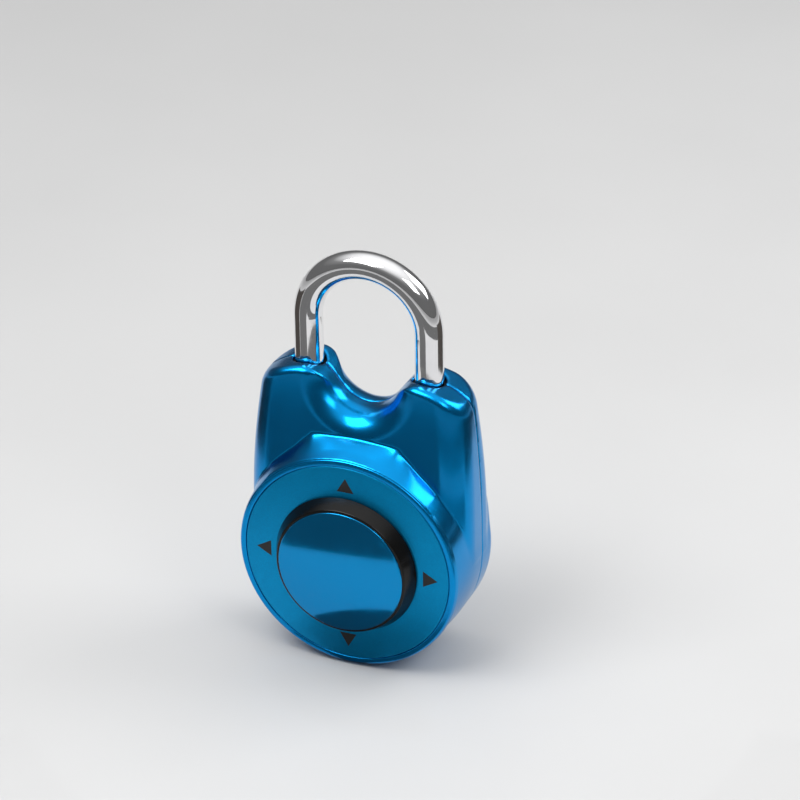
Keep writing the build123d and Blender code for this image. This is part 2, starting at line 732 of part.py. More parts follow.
with BuildPart() as shackle:
    with BuildLine(Plane.XZ) as bow:
        Line((-LEG_X, HEEL_Z), (-LEG_X, BOW_Z))
        ThreePointArc((-LEG_X, BOW_Z), (0, BOW_Z + LEG_X), (LEG_X, BOW_Z))
        Line((LEG_X, BOW_Z), (LEG_X, TOE_Z))
    with BuildSketch(Plane(origin=(-LEG_X, 0, HEEL_Z), z_dir=(0, 0, 1))):
        Circle(BAR_R)
    sweep()
    chamfer(shackle.edges().filter_by(GeomType.CIRCLE).group_by(Axis.Z)[0], 0.8)
    toe_edges = shackle.edges().filter_by(lambda edge: abs(edge.center().Z - TOE_Z) < 0.01)
    chamfer(toe_edges, 1.0)
    # a notch on the inside of each leg for its bolt, tall enough for the press that clears the wheels
    for sign in (-1, 1):
        notch_low = LATCH_TOP_Z - LATCH_H - GAP
        notch_high = LATCH_TOP_Z + PRESS + GAP
        with Locations((sign * (NOTCH_FLOOR_X - 2), 0, (notch_low + notch_high) / 2)):
            Box(4, 9, notch_high - notch_low, mode=Mode.SUBTRACT)
    # groove for the clip near the end of the long leg
    with BuildSketch(Plane.XY.offset(CLIP_Z)):
        with Locations((-LEG_X, 0)):
            Circle(BAR_R + 1)
            Circle(CLIP_BORE_R, mode=Mode.SUBTRACT)
    extrude(amount=CLIP_T, mode=Mode.SUBTRACT)
save(shackle, "shackle")

with BuildPart() as heel_clip:
    with BuildSketch(Plane.XY.offset(CLIP_Z)):
        with Locations((-LEG_X, 0)):
            Circle(CLIP_R)
            Circle(CLIP_BORE_R, mode=Mode.SUBTRACT)
        with Locations((-LEG_X, -CLIP_R)):
            Rectangle(2.4, 2 * CLIP_R, mode=Mode.SUBTRACT)
        with Locations((-LEG_X + CLIP_FLAT, 0)):
            Rectangle(2, 2 * CLIP_R, align=(Align.MIN, Align.CENTER), mode=Mode.SUBTRACT)
    extrude(amount=CLIP_T)
save(heel_clip, "heel_clip")

for side, sign in (("left", -1), ("right", 1)):
    with BuildPart() as leg_bush:
        with BuildSketch(Plane.XY.offset(BUSH_Z)):
            with Locations((sign * LEG_X, 0)):
                Circle(BUSH_R - 0.02)
                Circle(BAR_R + FIT, mode=Mode.SUBTRACT)
        extrude(amount=BUSH_H)
    save(leg_bush, f"leg_bush_{side}")

with BuildPart() as spring_cup:
    with BuildSketch(Plane.XY.offset(CUP_Z)):
        with Locations((-LEG_X, 0)):
            Circle(CUP_R)
    extrude(amount=CUP_H)
    with BuildSketch(Plane.XY.offset(CUP_Z + 1)):
        with Locations((-LEG_X, 0)):
            Circle(CUP_R - 0.7)
    extrude(amount=CUP_H, mode=Mode.SUBTRACT)
save(spring_cup, "spring_cup")

shackle_spring = coil_spring(
    SHACKLE_WIRE_R,
    SHACKLE_COIL_R,
    HEEL_Z - CUP_Z - 1 - 2 * SHACKLE_WIRE_R,
    7,
    (-LEG_X, 0, CUP_Z + 1 + SHACKLE_WIRE_R),
    (0, 0, 1),
)
save(shackle_spring, "shackle_spring")

# ---------------------------------------------------------------- reset lever
with BuildPart() as reset_lever:
    with BuildSketch(facing(BACK_Y - WALL - 0.1, LEVER_Z)):
        RectangleRounded(8, 11, 1)
    extrude(amount=1.2)
    with BuildSketch(facing(BACK_Y - 0.4, LEVER_Z)):
        SlotOverall(NIB_H, NIB_W, rotation=90)
    extrude(amount=WALL)
save(reset_lever, "reset_lever")
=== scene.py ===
import json
import math

import bmesh
import bpy
import numpy as np
from mathutils import Matrix, Vector


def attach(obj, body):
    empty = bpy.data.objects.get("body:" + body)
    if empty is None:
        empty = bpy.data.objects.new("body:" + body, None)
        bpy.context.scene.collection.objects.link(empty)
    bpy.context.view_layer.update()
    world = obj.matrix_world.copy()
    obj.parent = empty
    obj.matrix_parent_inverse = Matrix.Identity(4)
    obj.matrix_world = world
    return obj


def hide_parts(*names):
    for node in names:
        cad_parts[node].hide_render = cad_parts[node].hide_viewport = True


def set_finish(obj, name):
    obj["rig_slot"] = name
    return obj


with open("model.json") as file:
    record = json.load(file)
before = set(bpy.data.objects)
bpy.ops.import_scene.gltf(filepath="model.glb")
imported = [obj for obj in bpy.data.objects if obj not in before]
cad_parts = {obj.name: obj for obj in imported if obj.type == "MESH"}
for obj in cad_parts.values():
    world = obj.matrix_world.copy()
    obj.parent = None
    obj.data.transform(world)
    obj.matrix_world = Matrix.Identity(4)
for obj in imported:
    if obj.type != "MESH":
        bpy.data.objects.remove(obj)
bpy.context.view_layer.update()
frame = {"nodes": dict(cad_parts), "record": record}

MM = 0.001
nodes = frame["nodes"]

# ---------------------------------------------------------------- sizes, in millimetres, in the row's frame
DIAL_Z = -68.9          # height of the dial's centre; the origin is under the shackle's bow
FACE_Y = -15.9          # front of the rim and of the disc
BACK_Y = 9.0
DRUM_R = 28.55
RIM_R = 27.8
RIM_IN_R = 26.36        # inside of the rim, round the disc
RIM_DEPTH = 1.3         # how far back the turned rim reaches before the cast shell takes over
COLLAR_SLOPE = 0.31     # how fast the rim widens towards the back
PAD_TOP = 30.8          # straight top edge of the pad over the dial, above the dial axis
PAD_START = 0.9         # depths between which the pad rises
PAD_END = 6.6
PAD_CORNER = math.radians(20.3)
PAD_FOOT = math.radians(35.5)
PAD_FOOT_R = 29.5
LEG_X = 15.4
SHOULDER_R = 19.1
SHOULDER_X = 13.0
SHOULDER_TOP_Z = -22.9
NOTCH_Z = -23.9
NOTCH_R = 8.7
WALL = 1.9
RIM_LAP = 0.02          # how far the cast shell lies below the turned rim where they overlap
SEAM = 0.07             # half the gap between the two halves of the case
BUSH_R = 4.7
BUSH_TOP_Z = SHOULDER_TOP_Z - 2.4
LEG_HOLE_R = 4.0        # hole in the shoulder above the bush
LEG_HOLE_DEPTH = 12.0
BOSS_WALL = 1.2         # round each bush
BOSS_DEPTH = 4.3
BOSS_LAP = 0.5          # how far the boss stays inside the case's skin
LEVER_Z = DIAL_Z + 15.0
LEVER_TRAVEL = 4.0
LEVER_GAP = 0.2
SLOT_R = 1.7
SLOT_FRONT_Y = 5.0
DISC_R = 26.25
DISC_T = 1.4
WINDOW_R = 12.9         # in the disc, behind the dial
CAVITY_R = 19.5         # opening in the casting behind the disc
CAVITY_BACK_Y = -10.0
CAST_FRONT = 0.3        # how far behind the face the casting ends; the rim covers it
RIM_LAND = 0.6          # clearance of the casting behind the rim's inner edge

# roundings and blends of the cast case
CORNER_R = 6.8          # plan corners of the shoulders and columns
CROWN_ROUND = 1.5       # along the tops of the shoulders
NOTCH_ROUND = 6.4       # along the edges of the notch between the shoulders
SIDE_ROUND = 3.0        # where the collar meets the side of the drum
BACK_ROUND = 3.6        # round the drum's back
PAD_FILLET = 0.8        # between the pad and the collar
BODY_FILLET = 0.3       # between the upper body and the drum
HOLE_ROUND = 0.6        # mouths of the leg holes
SLOT_ROUND = 0.25
SEAM_ROUND = 0.22
SWELL = 2.5             # how much wider the drum's side is where the columns rise from it
SWELL_START = 3.2       # above the dial axis
SWELL_HEIGHT = 16.0
PAD_TURN = 0.9          # radians from straight up, past which the pad's outline stops changing
PAD_CRISP = 0.6         # width over which the pad's corners blend at its back edge
PAD_SOFT = 5.0          # and near its front
PAD_EDGE_MIN = PAD_FOOT_R - 0.3     # least radius of the pad's back edge
PAD_EDGE_EASE = 1.5
PAD_SOFT_MIN = PAD_FOOT_R - 0.4     # least radius of its soft outline
PAD_DEPTHS = (-0.2, 1.5)            # part of the way back over which the pad is ruled
PAD_SLOPE = 1.25        # keeps the pad's field close to a true distance
PAD_SINK = 3.5          # how far the pad's ends go under the collar
PAD_SINK_START = 0.8
PAD_SINK_TURN = 0.5
PAD_TAIL = 3.0          # length of the pad past its back edge, inside the case
PAD_LOWEST = 5.0        # the pad stays above this height over the dial axis
FAR_AWAY = 3.0


# ---------------------------------------------------------------- small mesh helpers
def new_object(name, vertices, faces, smooth=True):
    """Mesh object from vertices in millimetres."""
    mesh = bpy.data.meshes.new(name)
    mesh.from_pydata([tuple(v) for v in np.asarray(vertices, float) * MM], [], [tuple(f) for f in faces])
    mesh.update()
    if smooth:
        mesh.shade_smooth()
    obj = bpy.data.objects.new(name, mesh)
    bpy.context.scene.collection.objects.link(obj)
    return obj


def lathe(name, profile, centre, segments=256, sharp_angle=35.0):
    """Turned piece about a line along Y through centre. profile is a closed list of (y, radius)."""
    cx, cz = centre
    count = len(profile)
    vertices, faces = [], []
    for k in range(segments):
        turn = 2 * math.pi * k / segments
        for y, r in profile:
            vertices.append((cx + r * math.cos(turn), y, cz + r * math.sin(turn)))
    for k in range(segments):
        after = (k + 1) % segments
        for i in range(count):
            j = (i + 1) % count
            if profile[i][1] == 0 and profile[j][1] == 0:
                continue
            a, b = k * count + i, k * count + j
            c, d = after * count + j, after * count + i
            if profile[i][1] == 0:
                faces.append((a, b, c))
            elif profile[j][1] == 0:
                faces.append((a, b, d))
            else:
                faces.append((a, b, c, d))
    obj = new_object(name, vertices, faces)
    tidy_mesh(obj, sharp_angle)
    return obj


def tidy_mesh(obj, sharp_angle=35.0):
    """Join coincident points, turn the faces outwards and keep only real edges sharp."""
    bm = bmesh.new()
    bm.from_mesh(obj.data)
    bmesh.ops.remove_doubles(bm, verts=bm.verts, dist=1e-7)
    bmesh.ops.recalc_face_normals(bm, faces=bm.faces)
    bm.to_mesh(obj.data)
    bm.free()
    obj.data.shade_smooth()
    obj.data.set_sharp_from_angle(angle=math.radians(sharp_angle))


# ---------------------------------------------------------------- the cast case as one smooth field
def round_both(a, b, radius):
    """Inside both forms, their common edge rounded."""
    u = np.maximum(radius + a, 0)
    v = np.maximum(radius + b, 0)
    return np.minimum(-radius, np.maximum(a, b)) + np.hypot(u, v)


def round_either(a, b, radius):
    """Inside either form, their inner corner filled with a fillet."""
    u = np.maximum(radius - a, 0)
    v = np.maximum(radius - b, 0)
    return np.maximum(radius, np.minimum(a, b)) - np.hypot(u, v)


def soft_max(a, b, width):
    """The larger of two numbers, blended where they differ by less than width."""
    near = np.maximum(width - np.abs(a - b), 0)
    return np.maximum(a, b) + near * near / (4 * width)


# plan sections of the upper body: height above the dial, half width, front and back from the face
SECTIONS = np.array([
    (0, 28.5, 5.0, 24.8),
    (19, 28.3, 5.2, 24.5),
    (33, 27.3, 6.6, 23.8),
    (47, 25.6, 9.0, 22.8),
])
HALF_WIDTH, FRONT, BACK = (np.polyfit(SECTIONS[:, 0], SECTIONS[:, i], 3) for i in (1, 2, 3))
SECTION_RANGE = (-8, 60)    # heights between which the sections' curves are used


def upper_body(x, y, z):
    """Distance to the shoulders and columns."""
    height = np.clip(z - DIAL_Z, *SECTION_RANGE)
    half = np.polyval(HALF_WIDTH, height)
    front = FACE_Y + np.polyval(FRONT, height)
    back = FACE_Y + np.polyval(BACK, height)
    qx = np.abs(x) - (half - CORNER_R)
    qy = np.abs(y - (front + back) / 2) - ((back - front) / 2 - CORNER_R)
    outside = np.hypot(np.maximum(qx, 0), np.maximum(qy, 0))
    plan = outside + np.minimum(np.maximum(qx, qy), 0) - CORNER_R
    crown_z = SHOULDER_TOP_Z - SHOULDER_R
    away = np.maximum(np.abs(x) - SHOULDER_X, 0)
    crown = np.hypot(away, np.maximum(z - crown_z, 0)) - SHOULDER_R
    body = round_both(plan, crown, CROWN_ROUND)
    body = np.maximum(body, DIAL_Z - z)
    hollow = np.where(z > NOTCH_Z, np.abs(x), np.hypot(x, z - NOTCH_Z)) - NOTCH_R
    return round_both(body, -hollow, NOTCH_ROUND)


def drum(x, y, z):
    """Distance to the round lower half, whose front is the collar that widens from the rim."""
    radius = np.hypot(x, z - DIAL_Z)
    rise = np.clip((z - DIAL_Z - SWELL_START) / SWELL_HEIGHT, 0, 1)
    cone = (radius - RIM_R + RIM_LAP - COLLAR_SLOPE * (y - FACE_Y)) / math.hypot(1, COLLAR_SLOPE)
    swell = SWELL * rise * rise * (3 - 2 * rise)
    side = round_both(cone, radius - DRUM_R - swell, SIDE_ROUND)
    body = round_both(side, y - BACK_Y, BACK_ROUND)
    return np.maximum(body, FACE_Y - y)


def pad(x, y, z):
    """Distance to the pad over the dial, ruled from the rim's arc back to a straight top edge."""
    height = z - DIAL_Z
    radius = np.hypot(x, height)
    angle = np.arctan2(np.abs(x), np.maximum(height, 0.1))
    turn = np.minimum(angle, PAD_TURN)
    flat_top = PAD_TOP / np.cos(turn)
    foot = np.array((math.sin(PAD_FOOT), math.cos(PAD_FOOT))) * PAD_FOOT_R
    corner = np.array((math.tan(PAD_CORNER), 1)) * PAD_TOP
    across = np.array((corner[1] - foot[1], foot[0] - corner[0]))
    across /= np.linalg.norm(across)
    flank = (across @ corner) / (across[0] * np.sin(turn) + across[1] * np.cos(turn))
    edge = soft_max(-soft_max(-flat_top, -flank, PAD_CRISP), PAD_EDGE_MIN, PAD_EDGE_EASE)
    eased = soft_max(-soft_max(-flat_top, -flank, PAD_SOFT), PAD_SOFT_MIN, PAD_SOFT)
    depth = (y - FACE_Y - PAD_START) / (PAD_END - PAD_START)
    start = RIM_R - RIM_LAP + COLLAR_SLOPE * PAD_START
    depth = np.clip(depth, *PAD_DEPTHS)
    top = start + (eased - start) * depth + (edge - eased) * np.maximum(depth, 0) ** 4
    sunk = PAD_SINK * np.clip((angle - PAD_SINK_START) / PAD_SINK_TURN, 0, 1)
    body = (radius - top + sunk) / PAD_SLOPE
    body = np.maximum(body, y - FACE_Y - PAD_END - PAD_TAIL)
    return np.where(height > PAD_LOWEST, body, FAR_AWAY)


def case_field(x, y, z):
    """Distance to the outside of the case."""
    front = round_either(drum(x, y, z), pad(x, y, z), PAD_FILLET)
    return round_either(upper_body(x, y, z), front, BODY_FILLET)


def surface(field, low, high, step):
    """Closed quad mesh of the level set field = 0, its vertices moved exactly onto it."""
    axes = [np.arange(a, b + step, step) for a, b in zip(low, high)]
    grid = np.meshgrid(*axes, indexing="ij")
    value = field(*grid)
    inside = value < 0
    size = [len(a) - 1 for a in axes]
    count = np.zeros(size, np.int8)
    for i in (0, 1):
        for j in (0, 1):
            for k in (0, 1):
                count += inside[i:size[0] + i, j:size[1] + j, k:size[2] + k]
    active = (count > 0) & (count < 8)
    index = np.full(size, -1)
    index[active] = np.arange(active.sum())
    cells = np.argwhere(active)
    total = np.zeros((len(cells), 3))
    hits = np.zeros((len(cells), 1))
    faces = []
    for axis in range(3):
        unit = np.eye(3, dtype=int)[axis]
        others = [o for o in range(3) if o != axis]
        for a in (0, 1):
            for b in (0, 1):
                start = cells.copy()
                start[:, others[0]] += a
                start[:, others[1]] += b
                end = start + unit
                v0 = value[tuple(start.T)]
                v1 = value[tuple(end.T)]
                crosses = ((v0 < 0) != (v1 < 0))[:, None]
                part = np.where(crosses, start + (v0 / np.where(v0 == v1, 1, v0 - v1))[:, None] * unit, 0)
                total += part
                hits += crosses
        near = inside[tuple(slice(0, -1) if i == axis else slice(None) for i in range(3))]
        far = inside[tuple(slice(1, None) if i == axis else slice(None) for i in range(3))]
        edges = np.argwhere(near != far)
        ring = [(0, 0), (-1, 0), (-1, -1), (0, -1)]
        quad = []
        for a, b in ring:
            cell = edges.copy()
            cell[:, others[0]] += a
            cell[:, others[1]] += b
            quad.append(index[tuple(cell.T)])
        quad = np.stack(quad, 1)
        outward = near[tuple(edges.T)]
        if axis == 1:
            outward = ~outward
        quad[~outward] = quad[~outward][:, ::-1]
        faces.append(quad)
    points = np.array(low) + step * total / hits
    delta = step * 0.02
    for _ in range(5):
        here = field(*points.T)
        slope = np.stack([
            field(*(points + delta * e).T) - field(*(points - delta * e).T) for e in np.eye(3)
        ], 1) / (2 * delta)
        move = here[:, None] * slope / np.maximum((slope ** 2).sum(1, keepdims=True), 0.05)
        length = np.linalg.norm(move, axis=1, keepdims=True)
        points -= move * np.minimum(1, 0.4 * step / np.maximum(length, 1e-9))
    return points, np.concatenate(faces)


def shell_field(x, y, z):
    """The case's walls: hollow, with bosses and holes for the shackle's legs."""
    outside = case_field(x, y, z)
    walls = np.maximum(outside, -(outside + WALL))
    leg = np.hypot(np.abs(x) - LEG_X, y)
    boss = np.maximum(leg - BUSH_R - BOSS_WALL, SHOULDER_TOP_Z - BOSS_DEPTH - z)
    boss = np.maximum(boss, outside + BOSS_LAP)
    solid = np.minimum(walls, boss)
    below = SHOULDER_TOP_Z - LEG_HOLE_DEPTH - z
    seat = np.maximum(np.maximum(leg - BUSH_R, z - BUSH_TOP_Z), below)
    hole = np.maximum(leg - LEG_HOLE_R, below)
    return round_both(np.maximum(solid, -seat), -hole, HOLE_ROUND)


def front_field(x, y, z):
    """The front half, open for the disc and for the mechanism behind it."""
    radius = np.hypot(x, z - DIAL_Z)
    opening = np.maximum(radius - RIM_IN_R - RIM_LAND, y - FACE_Y - DISC_T)
    cavity = np.maximum(radius - CAVITY_R, y - CAVITY_BACK_Y)
    solid = np.maximum(shell_field(x, y, z), -cavity)
    solid = np.maximum(solid, -opening)
    solid = np.maximum(solid, FACE_Y + CAST_FRONT - y)
    return round_both(solid, y + SEAM, SEAM_ROUND)


def rear_field(x, y, z):
    """The rear half, with the reset lever's slot."""
    slot_z = np.clip(z, LEVER_Z - LEVER_GAP, LEVER_Z + LEVER_TRAVEL + LEVER_GAP)
    slot = np.maximum(np.hypot(x, z - slot_z) - SLOT_R, SLOT_FRONT_Y - y)
    solid = round_both(shell_field(x, y, z), -slot, SLOT_ROUND)
    return round_both(solid, SEAM - y, SEAM_ROUND)


STEP = 0.42
REACH = 29.6            # half size of the box round the case, past its widest point
OVERLAP = 0.6           # how far each half's box goes past the seam
LOW = (-REACH, FACE_Y - OVERLAP, DIAL_Z - REACH)
HIGH = (REACH, BACK_Y + 0.9, SHOULDER_TOP_Z + 0.9)


def cast_piece(name, field, low, high):
    """Smooth-shaded mesh of a field."""
    points, faces = surface(field, low, high, STEP)
    return new_object(name, points, faces)


front_skin = cast_piece("front_shell_cast", front_field, LOW, (HIGH[0], OVERLAP, HIGH[2]))
rear_skin = cast_piece("rear_shell_cast", rear_field, (LOW[0], -OVERLAP, LOW[2]), HIGH)


def bend(y, r, radius, start, end, steps=9):
    """Points on an arc of a turned profile about (y, r); 0 degrees faces front, 90 faces outwards."""
    turns = np.radians(np.linspace(start, end, steps))
    return [(y - radius * math.cos(t), r + radius * math.sin(t)) for t in turns]


RIM_ROUND = 0.65
slope_angle = math.degrees(math.atan(COLLAR_SLOPE))
rim_r = RIM_R + COLLAR_SLOPE * RIM_ROUND - RIM_ROUND * math.hypot(1, COLLAR_SLOPE)
rim = lathe(
    "front_shell_rim",
    [(FACE_Y + RIM_DEPTH, RIM_IN_R)]
    + bend(FACE_Y + 0.2, RIM_IN_R + 0.2, 0.2, -90, 0, 6)
    + bend(FACE_Y + RIM_ROUND, rim_r, RIM_ROUND, 0, 90 - slope_angle)
    + [(FACE_Y + RIM_DEPTH, RIM_R + COLLAR_SLOPE * RIM_DEPTH)],
    (0, DIAL_Z),
)


# ---------------------------------------------------------------- the dial
SKIRT_R = 18.2
SKIRT_TOP_R = 16.6
CAP_R = 16.0
SKIRT_BACK_Y = FACE_Y - 0.3
SKIRT_FRONT_Y = SKIRT_BACK_Y - 3.7
CAP_EDGE_Y = FACE_Y - 4.25
CAP_CROWN = 1.6
CAP_EDGE = 0.25         # rounding of the cap's edge
CAP_SEAT_Y = SKIRT_BACK_Y - 1.2
CAP_GAP = 0.05
DISC_EDGE = 0.25        # rounding of the disc's edge
SKIRT_ROUND = 0.4
SKIRT_LIP = 0.3         # from the top edge's radius to the middle of its rounding
SKIRT_BEVEL = 0.15
HUB_R = 6.0             # hole in the back of the skirt
DIAL_CENTRE = (0, DIAL_Z)

disc = lathe(
    "face_disc_plate",
    [(FACE_Y + DISC_T, WINDOW_R), (FACE_Y, WINDOW_R)]
    + bend(FACE_Y + DISC_EDGE, DISC_R - DISC_EDGE, DISC_EDGE, 0, 90, 6)
    + [(FACE_Y + DISC_T, DISC_R)],
    DIAL_CENTRE,
)

skirt_edge = [
    (SKIRT_FRONT_Y + SKIRT_ROUND * (1 - math.cos(t)), SKIRT_TOP_R - SKIRT_LIP + SKIRT_ROUND * math.sin(t))
    for t in np.linspace(0, math.pi / 2 - 0.38, 8)
]
skirt = lathe(
    "dial_skirt_ring",
    [(SKIRT_BACK_Y, HUB_R), (CAP_SEAT_Y, HUB_R)]
    + [(CAP_SEAT_Y, CAP_R + CAP_GAP), (SKIRT_FRONT_Y, CAP_R + CAP_GAP)]
    + skirt_edge
    + [(SKIRT_BACK_Y - SKIRT_BEVEL, SKIRT_R), (SKIRT_BACK_Y, SKIRT_R - SKIRT_BEVEL)],
    DIAL_CENTRE,
)

dome_r = (CAP_R ** 2 + CAP_CROWN ** 2) / (2 * CAP_CROWN)
dome = []
for r in np.linspace(0, CAP_R - CAP_EDGE, 24):
    dome.append((CAP_EDGE_Y - CAP_CROWN + dome_r - math.sqrt(dome_r ** 2 - r ** 2), r))
edge = [
    (CAP_EDGE_Y + 0.2 - CAP_EDGE * math.cos(t), CAP_R - CAP_EDGE + CAP_EDGE * math.sin(t))
    for t in np.linspace(0.3, math.pi / 2, 5)
]
cap = lathe("dial_cap_dome", dome + edge + [(CAP_SEAT_Y, CAP_R), (CAP_SEAT_Y, 0)], DIAL_CENTRE)

ARROW_TIP_R = 23.4
ARROW_BASE_R = 19.7
ARROW_W = 4.3
arrow_vertices, arrow_faces = [], []
for k in range(4):
    turn = math.pi / 2 * k
    out = np.array((math.cos(turn), math.sin(turn)))
    across = np.array((-out[1], out[0]))
    middle_of_base = out * ARROW_BASE_R
    half_base = across * ARROW_W / 2
    corners = [middle_of_base - half_base, out * ARROW_TIP_R, middle_of_base + half_base]
    first = len(arrow_vertices)
    for y in (FACE_Y - 0.03, FACE_Y + 0.15):
        arrow_vertices += [(c[0], y, DIAL_Z + c[1]) for c in corners]
    a, b, c, d, e, f = range(first, first + 6)
    arrow_faces += [(a, b, c), (f, e, d), (a, d, e, b), (b, e, f, c), (c, f, d, a)]
arrows = new_object("direction_arrow_print", arrow_vertices, arrow_faces)
tidy_mesh(arrows)

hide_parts("front_shell")
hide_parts("rear_shell")
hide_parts("front_shell")
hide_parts("face_disc")
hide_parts("direction_arrows")
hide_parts("dial_skirt")
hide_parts("dial_cap")
for piece, body, slot in (
    (front_skin, "case", "case_blue"),
    (rear_skin, "case", "case_blue"),
    (rim, "case", "case_blue"),
    (disc, "case", "disc_blue"),
    (arrows, "case", "arrow_black"),
    (skirt, "dial", "skirt_black"),
    (cap, "dial", "cap_blue"),
):
    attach(piece, body)
    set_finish(piece, slot)


# ---------------------------------------------------------------- materials
class Paint:
    """A material's node tree, with short calls for the nodes used here."""

    def __init__(self, name):
        self.material = bpy.data.materials.new(name)
        self.material.use_nodes = True
        self.tree = self.material.node_tree
        self.tree.nodes.clear()
        self.shader = self.add("ShaderNodeBsdfPrincipled")
        output = self.add("ShaderNodeOutputMaterial")
        self.link(self.shader.outputs["BSDF"], output.inputs["Surface"])
        self.place = self.add("ShaderNodeTexCoord").outputs["Object"]

    def add(self, kind, **settings):
        node = self.tree.nodes.new(kind)
        for key, value in settings.items():
            setattr(node, key, value)
        return node

    def link(self, out, into):
        self.tree.links.new(out, into)

    def set(self, **values):
        for key, value in values.items():
            self.shader.inputs[key.replace("_", " ")].default_value = value

    def stretched(self, x=1.0, y=1.0, z=1.0):
        """Object coordinates in millimetres, scaled along each axis."""
        mapping = self.add("ShaderNodeMapping")
        mapping.inputs["Scale"].default_value = (1000 * x, 1000 * y, 1000 * z)
        self.link(self.place, mapping.inputs["Vector"])
        return mapping.outputs["Vector"]

    def noise(self, scale, detail=4.0, rough=0.5, vector=None):
        node = self.add("ShaderNodeTexNoise")
        node.inputs["Scale"].default_value = scale
        node.inputs["Detail"].default_value = detail
        node.inputs["Roughness"].default_value = rough
        self.link(vector or self.stretched(), node.inputs["Vector"])
        return node.outputs["Fac"]

    def ramp(self, value, *stops):
        node = self.add("ShaderNodeValToRGB")
        elements = node.color_ramp.elements
        while len(elements) < len(stops):
            elements.new(0.5)
        for element, (position, colour) in zip(elements, stops):
            element.position = position
            element.color = (*colour, 1.0) if hasattr(colour, "__len__") else (colour, colour, colour, 1.0)
        self.link(value, node.inputs["Fac"])
        return node.outputs["Color"]

    def mix(self, factor, a, b, blend="MIX"):
        node = self.add("ShaderNodeMix", data_type="RGBA", blend_type=blend)
        for socket, value in ((node.inputs[0], factor), (node.inputs[6], a), (node.inputs[7], b)):
            if hasattr(value, "is_output"):
                self.link(value, socket)
            else:
                socket.default_value = value if not hasattr(value, "__len__") else tuple(value) + (1.0,)
        return node.outputs[2]

    def bump(self, height, strength, distance=0.02):
        node = self.add("ShaderNodeBump")
        node.inputs["Strength"].default_value = strength
        node.inputs["Distance"].default_value = distance * MM
        self.link(height, node.inputs["Height"])
        self.link(node.outputs["Normal"], self.shader.inputs["Normal"])

    def colour(self, socket):
        self.link(socket, self.shader.inputs["Base Color"])

    def roughness(self, socket):
        self.link(socket, self.shader.inputs["Roughness"])


def blue_case():
    paint = Paint("case_blue_metallic")
    paint.set(Metallic=1.0, Coat_Weight=0.12, Coat_Roughness=0.1)
    flakes = paint.noise(9.0, 2.0)
    cloud = paint.noise(0.05, 3.0)
    base = paint.mix(paint.ramp(cloud, (0.35, 0.0), (0.7, 1.0)), (0.0, 0.25, 0.62), (0.0, 0.28, 0.68))
    base = paint.mix(paint.ramp(flakes, (0.55, 0.0), (0.8, 0.25)), base, (0.01, 0.34, 0.76))
    wear = paint.add("ShaderNodeNewGeometry").outputs["Pointiness"]
    worn = paint.ramp(wear, (0.53, 0.0), (0.60, 0.3))
    paint.colour(paint.mix(worn, base, (0.05, 0.42, 0.82)))
    smudge = paint.noise(0.22, 5.0, 0.6)
    paint.roughness(paint.ramp(smudge, (0.3, 0.19), (0.7, 0.25)))
    paint.bump(paint.noise(5.0, 3.0), 0.05, 0.01)
    return paint.material


def blue_disc():
    paint = Paint("disc_blue_satin")
    paint.set(Metallic=0.92, Coat_Weight=0.05, Coat_Roughness=0.25)
    grain = paint.noise(4.0, 3.0)
    base = paint.mix(paint.ramp(grain, (0.4, 0.0), (0.65, 1.0)), (0.0, 0.285, 0.60), (0.0, 0.325, 0.66))
    speck = paint.ramp(paint.noise(0.9, 6.0, 0.7), (0.66, 0.0), (0.74, 0.4))
    paint.colour(paint.mix(speck, base, (0.01, 0.37, 0.70)))
    paint.roughness(paint.ramp(paint.noise(0.3, 4.0), (0.3, 0.40), (0.7, 0.48)))
    paint.bump(paint.noise(7.0, 2.0), 0.05, 0.008)
    return paint.material


def blue_cap():
    paint = Paint("cap_blue_gloss")
    paint.set(Metallic=1.0, Coat_Weight=0.25, Coat_Roughness=0.03)
    flakes = paint.noise(12.0, 2.0)
    base = paint.mix(paint.ramp(flakes, (0.5, 0.0), (0.8, 0.4)), (0.0, 0.25, 0.58), (0.0, 0.30, 0.64))
    paint.colour(base)
    paint.roughness(paint.ramp(paint.noise(0.25, 5.0, 0.6), (0.3, 0.09), (0.7, 0.15)))
    paint.bump(paint.noise(0.12, 3.0, 0.6), 0.25, 0.05)
    return paint.material


def black_gloss():
    paint = Paint("skirt_black_gloss")
    paint.set(Specular_IOR_Level=0.27)
    dust = paint.ramp(paint.noise(2.5, 6.0, 0.75), (0.62, 0.0), (0.8, 0.5))
    paint.colour(paint.mix(dust, (0.003, 0.003, 0.003), (0.016, 0.014, 0.012)))
    paint.roughness(paint.ramp(paint.noise(0.4, 5.0), (0.3, 0.12), (0.75, 0.24)))
    paint.bump(paint.noise(1.2, 2.0), 0.03, 0.01)
    return paint.material


def black_print():
    paint = Paint("arrow_black_ink")
    grain = paint.noise(6.0, 3.0)
    paint.colour(paint.mix(grain, (0.006, 0.005, 0.005), (0.016, 0.013, 0.012)))
    paint.roughness(paint.ramp(grain, (0.3, 0.45), (0.7, 0.6)))
    paint.bump(grain, 0.1, 0.01)
    return paint.material


def chrome():
    paint = Paint("shackle_chrome_plate")
    paint.set(Metallic=1.0)
    haze = paint.ramp(paint.noise(0.18, 6.0, 0.6), (0.35, 0.0), (0.7, 1.0))
    paint.colour(paint.mix(haze, (0.86, 0.86, 0.87), (0.80, 0.80, 0.82)))
    paint.roughness(paint.ramp(paint.noise(0.5, 6.0, 0.7), (0.4, 0.035), (0.75, 0.09)))
    paint.bump(paint.noise(0.3, 2.0), 0.03, 0.02)
    return paint.material


